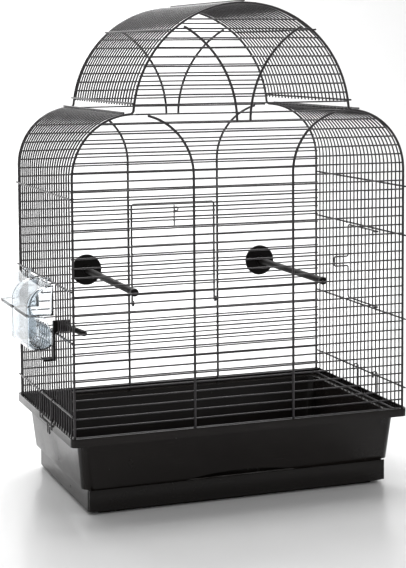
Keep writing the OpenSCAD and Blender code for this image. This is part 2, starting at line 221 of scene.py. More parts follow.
@dataclass(frozen=True)
class Moulded:
    """Moulded plastic: soft tone changes, fine scuffs along the mould's draw, grain and a little dust."""

    name: str
    dark: tuple
    pale: tuple
    rough: tuple = (0.14, 0.3)
    grain: float = 0.000012
    wave: float = 0.0005
    dust_share: float = 0.12
    specular: float = 0.5

    def material(self) -> bpy.types.Material:
        """Builds the finish."""
        g = Graph(self.name)
        tone = g.blend(g.spread(g.noise(9, 4), 0.35, 0.68), self.dark, self.pale)
        scuffs = g.times(
            g.spread(g.noise(90, 4, (0.35, 1, 14)), 0.6, 0.78), g.spread(g.noise(14, 3), 0.42, 0.66)
        )
        across = g.times(
            g.spread(g.noise(70, 4, (12, 12, 0.6)), 0.64, 0.8), g.spread(g.noise(11, 3), 0.46, 0.66)
        )
        tone = g.blend(scuffs, tone, tuple(2.0 * c for c in self.pale))
        tone = g.blend(across, tone, tuple(1.7 * c for c in self.pale))
        film = g.times(g.facing_up(), g.spread(g.noise(60, 6, rough=0.7), 0.4, 0.85, 0.0, self.dust_share))
        tone = g.blend(film, tone, (0.16, 0.155, 0.15))
        g.join(tone, g.shader.inputs["Base Color"])
        smear = g.spread(g.noise(22, 5, rough=0.65), 0.3, 0.75, self.rough[0], self.rough[1])
        worn = g.node("Math", operation="MAXIMUM")
        g.join(smear, worn.inputs[0])
        g.join(g.spread(scuffs, 0.0, 1.0, 0.0, 0.42), worn.inputs[1])
        g.join(worn.outputs["Value"], g.shader.inputs["Roughness"])
        g.shader.inputs["Specular IOR Level"].default_value = self.specular
        g.bump([(g.noise(7, 2), self.wave), (scuffs, -0.00001), (g.noise(1800, 2), self.grain)])
        return g.material


@dataclass(frozen=True)
class ClearMoulding:
    """Clear moulded styrene with a faint blue-grey tint, flow waves and hairline scratches."""

    name: str = "clear_styrene"
    tint: tuple = (0.84, 0.875, 0.90)

    def material(self) -> bpy.types.Material:
        """Builds the finish."""
        g = Graph(self.name)
        cloud = g.spread(g.noise(26, 4), 0.35, 0.8)
        g.join(g.blend(cloud, self.tint, (0.76, 0.80, 0.83)), g.shader.inputs["Base Color"])
        hair = g.times(
            g.spread(g.noise(120, 5, (1, 9, 0.6)), 0.62, 0.72), g.spread(g.noise(30, 3), 0.45, 0.6)
        )
        g.join(g.spread(hair, 0.0, 1.0, 0.035, 0.32), g.shader.inputs["Roughness"])
        g.shader.inputs["Transmission Weight"].default_value = 1.0
        g.shader.inputs["IOR"].default_value = 1.5
        g.bump([(g.noise(24, 2), 0.00012), (g.noise(150, 3), 0.000006), (hair, -0.00001)])
        return g.material


@dataclass(frozen=True)
class StudioFloor:
    """Pale, slightly glossy sweep that the cage stands on."""

    name: str = "studio_floor"

    def material(self) -> bpy.types.Material:
        """Builds the finish."""
        g = Graph(self.name)
        g.join(g.blend(g.noise(3, 3), (0.84, 0.84, 0.84), (0.86, 0.86, 0.86)), g.shader.inputs["Base Color"])
        g.join(g.spread(g.noise(5, 3), 0.3, 0.7, 0.2, 0.26), g.shader.inputs["Roughness"])
        g.shader.inputs["Specular IOR Level"].default_value = 0.85
        g.bump([(g.noise(400, 2), 0.00001)])
        return g.material


class Finishes:
    """The finish of each slot, built once."""

    def __init__(self) -> None:
        """Builds every finish of the object."""
        made = {
            Slot.WIRE: PowderCoat(),
            Slot.BASE: Moulded(
                "base_plastic_gloss", (0.0085, 0.0068, 0.006), (0.012, 0.0098, 0.0086), specular=0.22
            ),
            Slot.DRAWER: Moulded(
                "drawer_plastic_gloss", (0.0065, 0.0052, 0.0045), (0.0095, 0.0078, 0.0068), specular=0.22
            ),
            Slot.BLACK: Moulded(
                "fitting_plastic_satin",
                (0.006, 0.0052, 0.005),
                (0.01, 0.0088, 0.0084),
                rough=(0.36, 0.5),
                grain=0.00003,
                wave=0.0001,
                dust_share=0.05,
                specular=0.11,
            ),
            Slot.CLEAR: ClearMoulding(),
        }
        self.by_slot = {slot: finish.material() for slot, finish in made.items()}

    def dress(self, obj: bpy.types.Object, slot: Slot) -> None:
        """Gives an object its slot's finish.

        Args:
            obj: The piece.
            slot: Its material slot.
        """
        obj.data.materials.clear()
        obj.data.materials.append(self.by_slot[slot])


class Wirework:
    """One mesh made of round wires with domed ends and weld beads."""

    def __init__(self, name: str, seed: int = 1) -> None:
        """Starts an empty mesh.

        Args:
            name: Name of the piece.
            seed: Start of the small irregularities.
        """
        self.name = name
        self.points: list[np.ndarray] = []
        self.faces: list[tuple[int, ...]] = []
        self.count = 0
        self.random = np.random.default_rng(seed)

    def _rings(self, rings: list[np.ndarray], closed: bool = False) -> None:
        """Skins a row of rings, and caps both ends unless the row is closed."""
        sides, start, rows = len(rings[0]), self.count, len(rings)
        for i in range(rows if closed else rows - 1):
            a, b = start + i * sides, start + ((i + 1) % rows) * sides
            for j in range(sides):
                n = (j + 1) % sides
                self.faces.append((a + j, a + n, b + n, b + j))
        if not closed:
            self.faces.append(tuple(start + j for j in reversed(range(sides))))
            self.faces.append(tuple(start + (rows - 1) * sides + j for j in range(sides)))
        self.points.extend(rings)
        self.count += sides * rows

    def wire(
        self, path: np.ndarray, radius: float, plane: tuple, sides: int = 10, closed: bool = False
    ) -> None:
        """Adds a wire along a path that lies in a plane.

        Args:
            path: Points of the wire's middle line.
            radius: Radius of the wire.
            plane: Direction square to the plane of the path.
            sides: Corners of the wire's section.
            closed: Whether the wire is a closed ring.
        """
        path = np.asarray(path, float)
        normal = np.array(plane, float)
        if closed:
            tangents = np.roll(path, -1, axis=0) - np.roll(path, 1, axis=0)
        else:
            tangents = np.gradient(path, axis=0)
        tangents /= np.linalg.norm(tangents, axis=1)[:, None]
        swell = 1.0 + 0.012 * self.random.standard_normal(len(path))
        angles = np.linspace(0, 2 * math.pi, sides, endpoint=False)

        def ring(at: np.ndarray, along: np.ndarray, size: float) -> np.ndarray:
            side = np.cross(along, normal)
            side /= np.linalg.norm(side)
            return at + size * (np.cos(angles)[:, None] * side + np.sin(angles)[:, None] * normal)

        rings = [ring(p, t, radius * s) for p, t, s in zip(path, tangents, swell)]
        if not closed:
            nose = radius * 0.45
            rings[0] = ring(path[0] + nose * tangents[0], tangents[0], radius)
            rings[-1] = ring(path[-1] - nose * tangents[-1], tangents[-1], radius)
            rings.insert(0, ring(path[0] + 0.12 * nose * tangents[0], tangents[0], 0.8 * radius))
            rings.insert(0, ring(path[0], tangents[0], 0.45 * radius))
            rings.append(ring(path[-1] - 0.12 * nose * tangents[-1], tangents[-1], 0.8 * radius))
            rings.append(ring(path[-1], tangents[-1], 0.45 * radius))
        self._rings(rings, closed)

    def straight(self, a: tuple, b: tuple, radius: float, plane: tuple, wobble: float = 0.0) -> None:
        """Adds a straight wire, with an almost unseen wobble.

        Args:
            a: One end.
            b: Other end.
            radius: Radius of the wire.
            plane: A direction square to the wire; the wobble lies square to both.
            wobble: Largest offset of the middle line.
        """
        a, b = np.array(a, float), np.array(b, float)
        length = np.linalg.norm(b - a)
        steps = max(3, int(length / 0.012))
        t = np.linspace(0, 1, steps + 1)
        line = a + (b - a) * t[:, None]
        side = np.cross(b - a, plane) / length
        phase, turns = self.random.uniform(0, 6.28), self.random.uniform(1.5, 4.5)
        line += side * (wobble * np.sin(phase + turns * 3.14 * t) * np.sin(3.14 * t))[:, None]
        self.wire(line, radius, plane, 8)

    def bead(self, at: tuple, size: float) -> None:
        """Adds a weld bead.

        Args:
            at: Its middle.
            size: Its radius.
        """
        size *= self.random.uniform(0.85, 1.15)
        squash = self.random.uniform(0.8, 1.1, 3)
        angles = np.linspace(0, 2 * math.pi, 8, endpoint=False)
        rings = []
        for lift in (-0.97, -0.7, 0.0, 0.7, 0.97):
            reach = math.sqrt(1 - lift * lift)
            circle = np.stack([reach * np.cos(angles), reach * np.sin(angles), np.full(8, lift)], axis=1)
            rings.append(np.array(at) + size * squash * circle)
        self._rings(rings)

    def finish(self, body: str, finishes: Finishes, slot: Slot, *nodes: str) -> bpy.types.Object:
        """Makes the mesh object and hands it to the frame.

        Args:
            body: Body it rides on.
            finishes: Finishes of the object.
            slot: Its material slot.
            *nodes: CAD nodes that it stands for.

        Returns:
            The new object.
        """
        mesh = bpy.data.meshes.new(self.name)
        mesh.from_pydata(np.concatenate(self.points).tolist(), [], self.faces)
        mesh.update()
        mesh.shade_smooth()
        obj = bpy.data.objects.new(self.name, mesh)
        bpy.context.scene.collection.objects.link(obj)
        finishes.dress(obj, slot)
        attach(obj, body)
        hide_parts(*nodes)
        log.info("%s: %d faces on %s", self.name, len(self.faces), body)
        return obj


def arc(
    centre: tuple[float, float], radius: float, start: float, end: float, step: float = 3.0
) -> np.ndarray:
    """Samples an arc.

    Args:
        centre: Its middle.
        radius: Its radius.
        start: First angle, in degrees.
        end: Last angle, in degrees.
        step: Largest angle between samples, in degrees.

    Returns:
        Points, one a row.
    """
    count = max(2, int(abs(end - start) / step) + 1)
    a = np.radians(np.linspace(start, end, count))
    return np.stack([centre[0] + radius * np.cos(a), centre[1] + radius * np.sin(a)], axis=1)


def rounded(corners: list[tuple[float, float]], radius: float) -> np.ndarray:
    """Rounds the inner corners of a flat path.

    Args:
        corners: The path's corners.
        radius: Bend radius.

    Returns:
        Points along the bent path.
    """
    pts = [np.array(c, float) for c in corners]
    path = [pts[0]]
    for before, here, after in zip(pts, pts[1:], pts[2:]):
        u = (here - before) / np.linalg.norm(here - before)
        v = (after - here) / np.linalg.norm(after - here)
        turn = math.atan2(u[0] * v[1] - u[1] * v[0], float(u @ v))
        trim = radius * math.tan(abs(turn) / 2)
        first = here - trim * u
        side = math.copysign(1.0, turn) * np.array([-u[1], u[0]])
        middle = first + radius * side
        for t in np.linspace(0, turn, 7):
            c, s = math.cos(t), math.sin(t)
            r = first - middle
            path.append(middle + np.array([c * r[0] - s * r[1], s * r[0] + c * r[1]]))
    path.append(pts[-1])
    dense = [path[0]]
    for a, b in zip(path, path[1:]):
        steps = max(1, int(np.linalg.norm(b - a) / 0.012))
        dense.extend(a + (b - a) * k / steps for k in range(1, steps + 1))
    return np.array(dense)


def in_xz(flat: np.ndarray, y: float) -> np.ndarray:
    """Stands a flat path up in the plane across the cage at y."""
    return np.stack([flat[:, 0], np.full(len(flat), y), flat[:, 1]], axis=1)


def in_yz(flat: np.ndarray, x: float) -> np.ndarray:
    """Stands a flat path up in the plane along the cage at x."""
    return np.stack([np.full(len(flat), x), flat[:, 0], flat[:, 1]], axis=1)


@dataclass(frozen=True)
class Outline:
    """Driving sizes of the wire cage, with the places that follow from them."""

    half_w: float = 0.250
    half_d: float = 0.153
    rim: float = 0.114
    post: float = 0.354
    shoulder_r: float = 0.0875
    dome_top: float = 0.594
    pitch: float = 0.013
    side_gaps: int = 24
    outline_r: float = 0.0018
    wire_r: float = 0.00115
    cross_r: float = 0.0014
    weld: float = 0.0003
    nub: float = 0.0018
    curl_r: float = 0.006
    overhang: float = 0.0035
    bead_r: float = 0.0010
    bead_sink: float = 0.0001
    shoulder_end: float = 0.004
    side_wobble: float = 1.5e-4
    cross_wobble: float = 1e-4

    @property
    def shoulder_x(self) -> float:
        """Middle of a shoulder's bend, and radius of the dome."""
        return self.half_w - self.shoulder_r

    @property
    def spring(self) -> float:
        """Height at which the shoulders begin to bend."""
        return self.rim + self.post

    @property
    def dome_z(self) -> float:
        """Height of the dome's middle."""
        return self.rim + self.dome_top - self.shoulder_x

    @property
    def seat(self) -> float:
        """Height of the lower ends of the wires, on the ledge of the base."""
        return self.rim - 0.0097

    @property
    def upright_x(self) -> float:
        """Distance of the heavy uprights from the middle."""
        return self.half_w - 2 * self.shoulder_r

    @property
    def row_y(self) -> float:
        """Distance of the rows from the middle plane."""
        return self.half_d - (self.outline_r + self.wire_r) + self.weld

    @property
    def cross_x(self) -> float:
        """Distance of the side cross wires from the middle plane."""
        return self.half_w + self.outline_r + self.cross_r + 0.00005

    @property
    def side_x(self) -> float:
        """Distance of the side wires from the middle plane."""
        return self.cross_x - self.cross_r - self.wire_r + self.weld

    @property
    def curl(self) -> tuple[float, float]:
        """Middle of the small curl between a shoulder and the dome."""
        dome, bend = self.shoulder_x, self.shoulder_r
        span = math.hypot(self.shoulder_x, self.dome_z - self.spring)
        a = ((dome + self.curl_r) ** 2 - (bend + self.curl_r) ** 2 + span**2) / (2 * span)
        h = math.sqrt((dome + self.curl_r) ** 2 - a * a)
        ux, uz = self.shoulder_x / span, (self.spring - self.dome_z) / span
        return a * ux - h * uz, self.dome_z + a * uz + h * ux

    def row(self, k: int) -> float:
        """Height of row k."""
        return self.rim - 0.001 + k * self.pitch

    def side_y(self, k: float) -> float:
        """Place of side wire k, counted from the front."""
        return -self.half_d + k * 2 * self.half_d / self.side_gaps

    def half_at(self, z: float) -> float:
        """Half length of a row at a height."""
        if z < self.spring:
            return self.half_w
        if z < self.spring + self.shoulder_r - self.shoulder_end:
            return self.shoulder_x + math.sqrt(self.shoulder_r**2 - (z - self.spring) ** 2)
        if z < self.dome_z + 0.014:
            return self.shoulder_x - 0.006
        return math.sqrt(self.shoulder_x**2 - (z - self.dome_z) ** 2)


@dataclass
class EndPanel:
    """Front or back panel: the outline wire, four uprights and the close-set rows."""

    cage: Outline
    finishes: Finishes
    sign: int
    open_rows: tuple[int, int] = (0, 0)
    top_row: int = 44
    shoulder_row: int = 33

    def heavy(self, work: Wirework) -> None:
        """Adds the outline and the uprights."""
        c, y = self.cage, self.sign * self.cage.half_d
        curl_x, curl_z = c.curl
        dome_from = math.degrees(math.atan2(curl_z - c.dome_z, curl_x))
        shoulder_to = math.degrees(math.atan2(curl_z - c.spring, curl_x - c.shoulder_x))
        post = np.stack([np.full(30, c.half_w), np.linspace(c.seat, c.spring, 30)], axis=1)
        right = np.concatenate(
            [
                post[:-1],
                arc((c.shoulder_x, c.spring), c.shoulder_r, 0, shoulder_to)[:-1],
                arc((curl_x, curl_z), c.curl_r, 180 + shoulder_to, 180 + dome_from, 12)[:-1],
                arc((0, c.dome_z), c.shoulder_x, dome_from, 90)[:-1],
            ]
        )
        left = (right * np.array([-1, 1]))[::-1]
        top = np.array([[0, c.dome_z + c.shoulder_x]])
        work.wire(in_xz(np.concatenate([right, top, left]), y), c.outline_r, (0, 1, 0), 12)
        arc_r = c.shoulder_x - 0.010
        cosine = (arc_r**2 + c.shoulder_x**2 - (c.shoulder_x - 0.003) ** 2) / (2 * arc_r * c.shoulder_x)
        for side in (-1, 1):
            leg = np.stack([np.full(30, c.upright_x), np.linspace(c.seat, c.spring, 30)], axis=1)
            bend = arc((c.shoulder_x, c.spring), c.shoulder_r, 180, 104)
            path = np.concatenate([leg[:-1], bend]) * np.array([side, 1])
            work.wire(in_xz(path, y), c.outline_r, (0, 1, 0), 12)
            foot = (-c.shoulder_x, c.row(self.shoulder_row))
            rise = arc(foot, arc_r, 0, math.degrees(math.acos(cosine)))
            work.wire(in_xz(rise * np.array([side, 1]), y), c.outline_r, (0, 1, 0), 12)

    def rows(self, work: Wirework) -> None:
        """Adds the rows, and a weld bead wherever one crosses a heavy wire."""
        c, y = self.cage, self.sign * self.cage.row_y
        bead_y = self.sign * (c.row_y + c.wire_r - c.bead_sink)
        for k in range(self.top_row + 1):
            z = c.row(k)
            half = c.half_at(z) + c.nub
            inner = c.upright_x - c.nub
            spans = [(-half, half)]
            if self.open_rows[0] < k < self.open_rows[1]:
                spans = [(-half, -inner), (inner, half)]
            for x0, x1 in spans:
                work.straight((x0, y, z), (x1, y, z), c.wire_r, (0, 1, 0), 0.00022)
            places = [half - c.nub]
            if z < c.spring:
                places.append(c.upright_x)
            elif z < c.spring + c.shoulder_r - c.shoulder_end:
                places.append(c.shoulder_x - math.sqrt(c.shoulder_r**2 - (z - c.spring) ** 2))
            for x in places:
                for side in (-1, 1):
                    work.bead((side * x, bead_y, z), 0.0011)

    def build(self) -> None:
        """Builds the panel."""
        name = "front" if self.sign < 0 else "back"
        work = Wirework(name + "_grille", 11 + self.sign)
        self.heavy(work)
        self.rows(work)
        work.finish("cage", self.finishes, Slot.WIRE, name + "_panel")


@dataclass
class SidePanel:
    """Side panel: upright wires that bend over the shoulder, tied by cross wires."""

    cage: Outline
    finishes: Finishes
    sign: int
    open_gaps: tuple[int, int]
    opening: tuple[float, float]
    crosses: tuple[float, ...]
    shoulder_cross: float = 9.0

    def build(self) -> None:
        """Builds the panel."""
        c, s = self.cage, self.sign
        name = "left" if s < 0 else "right"
        work = Wirework(name + "_grille", 21 + s)
        bend_r = c.side_x - c.shoulder_x
        low, high = (c.rim + h for h in self.opening)
        over = arc((c.shoulder_x, c.spring), bend_r, 0, 90 - self.shoulder_cross + 2)
        for k in range(1, c.side_gaps):
            y = c.side_y(k)
            runs = [(c.seat, c.spring)]
            if self.open_gaps[0] < k < self.open_gaps[1]:
                runs = [(c.seat, low + c.nub), (high - c.nub, c.spring)]
                ends = [(s * c.side_x, y, z) for z in runs[0]]
                work.straight(*ends, c.wire_r, (0, 1, 0), c.side_wobble)
            z0 = runs[-1][0]
            count = max(3, int((c.spring - z0) / 0.014))
            leg = np.stack([np.full(count, c.side_x), np.linspace(z0, c.spring, count)], axis=1)
            path = np.concatenate([leg[:-1], over]) * np.array([s, 1])
            work.wire(in_xz(path, y), c.wire_r, (0, 1, 0), 8)
            for z in self.crosses:
                work.bead((s * (c.side_x + c.wire_r - c.bead_sink), y, c.rim + z), c.bead_r)
        reach = c.half_d + c.overhang
        for z in self.crosses:
            x = s * c.cross_x
            work.straight((x, -reach, c.rim + z), (x, reach, c.rim + z), c.cross_r, (1, 0, 0), c.cross_wobble)
        tie = s * (c.side_x - c.wire_r - c.cross_r + c.weld)
        ends = [(tie, side * (c.half_d - 0.006), c.seat + 0.003) for side in (-1, 1)]
        work.straight(*ends, c.cross_r, (1, 0, 0))
        a = math.radians(self.shoulder_cross)
        ring = c.cross_x - c.shoulder_x
        x, z = s * (c.shoulder_x + ring * math.sin(a)), c.spring + ring * math.cos(a)
        work.straight((x, -reach, z), (x, reach, z), c.cross_r, (1, 0, 0), c.cross_wobble)
        work.finish("cage", self.finishes, Slot.WIRE, name + "_panel")


@dataclass
class RoofPanel:
    """Curved roof of the dome."""

    cage: Outline
    finishes: Finishes
    crosses: tuple[float, ...] = (8.5, 49.0, 90.0, 131.0, 171.5)

    def build(self) -> None:
        """Builds the roof."""
        c = self.cage
        work = Wirework("roof_grille", 31)
        bend_r = c.shoulder_x + c.side_x - c.half_w
        cross_r = c.shoulder_x + c.cross_x - c.half_w
        start = self.crosses[0] - 1.2
        for k in range(1, c.side_gaps):
            hoop = arc((0, c.dome_z), bend_r, start, 180 - start)
            work.wire(in_xz(hoop, c.side_y(k)), c.wire_r, (0, 1, 0), 8)
        reach = c.half_d + c.overhang
        for degrees in self.crosses:
            a = math.radians(degrees)
            x, z = cross_r * math.cos(a), c.dome_z + cross_r * math.sin(a)
            square = (math.cos(a), 0, math.sin(a))
            work.straight((x, -reach, z), (x, reach, z), c.cross_r, square, c.cross_wobble)
            mid = (bend_r + cross_r) / 2 - 0.0002
            for k in range(1, c.side_gaps):
                work.bead((mid * math.cos(a), c.side_y(k), c.dome_z + mid * math.sin(a)), c.bead_r)
        work.finish("cage", self.finishes, Slot.WIRE, "roof_panel")


@dataclass
class MainDoor:
    """Main door in the back panel, with its latch."""

    cage: Outline
    finishes: Finishes
    half: float = 0.0695
    frame_y: float = 0.154
    frame_r: float = 0.0015
    bend: float = 0.0045
    rows: tuple[int, int] = (10, 22)
    latch_r: float = 0.0011
    latch_gap: float = 0.0003
    latch_l: float = 0.038
    eye_r: float = 0.0022
    eye_wire: float = 0.0008
    ring_r: float = 0.0031
    ring_wire: float = 0.0009

    @property
    def latch_y(self) -> float:
        """Place of the latch, just inside the rows."""
        return self.cage.row_y - self.cage.wire_r - self.latch_r - self.latch_gap

    def leaf(self) -> None:
        """Builds the frame with its hinge hooks, its rows and the two eyes of the latch."""
        c = self.cage
        work = Wirework("main_door_leaf", 41)
        low, high = c.row(self.rows[0]), c.row(self.rows[1]) + 0.001
        corners = [(-self.half, low), (-self.half, high), (self.half, high), (self.half, low)]
        work.wire(in_xz(rounded(corners, self.bend), self.frame_y), self.frame_r, (0, 1, 0), 14)
        hook = arc((c.row_y, low), self.frame_y - c.row_y, 0, -250, 12)
        infill = self.frame_y - self.frame_r - c.wire_r + c.weld
        for side in (-1, 1):
            work.wire(in_yz(hook, side * self.half), self.frame_r + 0.0001, (1, 0, 0), 14)
            for k in range(self.rows[0] + 1, self.rows[1]):
                work.bead((side * self.half, infill + c.wire_r - c.bead_sink, c.row(k)), 0.0012)
        for k in range(self.rows[0] + 1, self.rows[1]):
            end = self.half + c.nub
            work.straight((-end, infill, c.row(k)), (end, infill, c.row(k)), c.wire_r, (0, 1, 0), 2e-4)
        eye = arc((0.0, self.latch_y), self.eye_r, 0, 350, 10)
        for k in (self.rows[1] - 2, self.rows[1] - 1):
            ring = np.stack([eye[:, 0], eye[:, 1], np.full(len(eye), c.row(k))], axis=1)
            work.wire(ring, self.eye_wire, (0, 0, 1), 10, closed=True)
            work.bead((0.0, self.latch_y + self.eye_r + self.eye_wire, c.row(k)), 0.0012)
        work.finish("main_door", self.finishes, Slot.WIRE, "main_door")

    def latch(self) -> None:
        """Builds the latch's shank and the finger ring beside its upper end."""
        c = self.cage
        work = Wirework("main_door_latch", 43)
        top = c.row(self.rows[1]) - c.wire_r - self.latch_gap
        low = c.row(self.rows[1]) + 0.001 - self.latch_l
        work.straight((0, self.latch_y, low), (0, self.latch_y, top), self.latch_r, (0, 1, 0))
        middle = c.row(self.rows[1] - 1) + 0.0010 + self.ring_r + self.ring_wire
        ring = arc((self.ring_r + 0.0003, middle), self.ring_r, 0, 350, 10)
        work.wire(in_xz(ring, self.latch_y), self.ring_wire, (0, 1, 0), 12, closed=True)
        work.finish("door_latch", self.finishes, Slot.WIRE, "door_latch")

    def build(self) -> None:
        """Builds the door and its latch."""
        self.leaf()
        self.latch()


@dataclass
class SideDoor:
    """Side door: a frame hooked round one side wire, with a catch loop bent inwards."""

    cage: Outline
    finishes: Finishes
    first_gap: int = 7
    gaps: int = 9
    low: float = 0.136
    high: float = 0.252
    frame_r: float = 0.0012
    loop_half: float = 0.0075
    loop_l: float = 0.024

    def build(self) -> None:
        """Builds the door."""
        c = self.cage
        work = Wirework("side_door_leaf", 51)
        x = c.side_x + self.frame_r + c.wire_r + 0.0005
        hinge, free = c.side_y(self.first_gap), c.side_y(self.first_gap + self.gaps - 1) + 0.00125
        mid, half = c.rim + (self.low + self.high) / 2, (self.high - self.low) / 2
        for flip in (-1, 1):
            end, stop = mid + flip * half, mid + flip * (self.loop_half + 0.003)
            flat = rounded([(hinge, end), (free, end), (free, stop)], 0.005)
            work.wire(in_yz(flat, x), self.frame_r, (1, 0, 0), 12)
            ring = arc((c.side_x, hinge), x - c.side_x, 0, -270, 12)
            hook = np.stack([ring[:, 0], ring[:, 1], np.full(len(ring), mid + flip * half)], axis=1)
            work.wire(hook, self.frame_r + 0.0001, (0, 0, 1), 12)
        lift = self.loop_half
        loop = rounded(
            [
                (x, mid + lift + 0.003), (x, mid + lift), (x - self.loop_l, mid + lift),
                (x - self.loop_l, mid - lift), (x, mid - lift), (x, mid - lift - 0.003),
            ],
            0.0029,
        )
        work.wire(in_xz(loop, free), self.frame_r, (0, 1, 0), 12)
        infill = x - self.frame_r - c.wire_r + c.weld
        for k in range(self.first_gap + 1, self.first_gap + self.gaps - 1):
            y, end = c.side_y(k), half + c.nub
            low_end, high_end = (infill, y, mid - end), (infill, y, mid + end)
            work.straight(low_end, high_end, c.wire_r, (1, 0, 0), c.side_wobble)
            for flip in (-1, 1):
                work.bead((infill + c.wire_r, y, mid + flip * half), c.bead_r)
        work.finish("side_door", self.finishes, Slot.WIRE, "side_door")


@dataclass
class BaseClip:
    """Wire bail that hangs on the lowest side cross wire and grips the lip of the base."""

    cage: Outline
    finishes: Finishes
    sign: int
    wire_r: float = 0.0011
    front: float = -0.056
    back: float = 0.010
    hang: float = 0.030

    def build(self) -> None:
        """Builds the clip."""
        c, s = self.cage, self.sign
        name = "left" if s < 0 else "right"
        work = Wirework(name + "_base_clip", 61 + s)
        top, low, mid = c.rim + self.hang, c.rim - 0.006, self.front + 0.008
        x = c.half_w + 0.006 + 0.0005 + self.wire_r
        flat = rounded(
            [
                (self.back, top), (self.back, low), (mid + 0.014, low), (mid + 0.014, low - 0.012),
                (mid + 0.003, low - 0.012), (mid + 0.003, low), (self.front, low), (self.front, top),
            ],
            0.0025,
        )
        work.wire(in_yz(flat, s * x), self.wire_r, (1, 0, 0), 12)
        ring = arc((c.cross_x, top), x - c.cross_x, 0, 250, 10) * np.array([s, 1])
        for y in (self.front, self.back):
            work.wire(in_xz(ring, y), self.wire_r, (0, 1, 0), 12)
        work.finish(name + "_clip", self.finishes, Slot.WIRE, name + "_clip")


@dataclass
class Moulding:
    """A moulded piece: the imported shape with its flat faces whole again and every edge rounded."""

    node: str
    body: str
    slot: Slot
    finishes: Finishes
    edge: float = 0.0005
    segments: int = 3
    sharp: float = 32.0

    def build(self) -> bpy.types.Object:
        """Builds the piece.

        Returns:
            The new object.
        """
        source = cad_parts[self.node]
        shape = bmesh.new()
        shape.from_mesh(source.data)
        bmesh.ops.remove_doubles(shape, verts=shape.verts, dist=2e-6)
        bmesh.ops.dissolve_limit(
            shape, angle_limit=math.radians(0.6), verts=shape.verts, edges=shape.edges, delimit=set()
        )
        mesh = bpy.data.meshes.new(self.node + "_moulding")
        shape.to_mesh(mesh)
        shape.free()
        mesh.materials.clear()
        obj = bpy.data.objects.new(self.node + "_moulding", mesh)
        bpy.context.scene.collection.objects.link(obj)
        mesh.shade_smooth()
        bevel = obj.modifiers.new("edges", "BEVEL")
        bevel.width = self.edge
        bevel.segments = self.segments
        bevel.limit_method = "ANGLE"
        bevel.angle_limit = math.radians(self.sharp)
        bevel.use_clamp_overlap = True
        bevel.harden_normals = True
        self.finishes.dress(obj, self.slot)
        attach(obj, self.body)
        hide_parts(self.node)
        log.info("%s: moulded, edges %.1f mm", self.node, self.edge * 1000)
        return obj


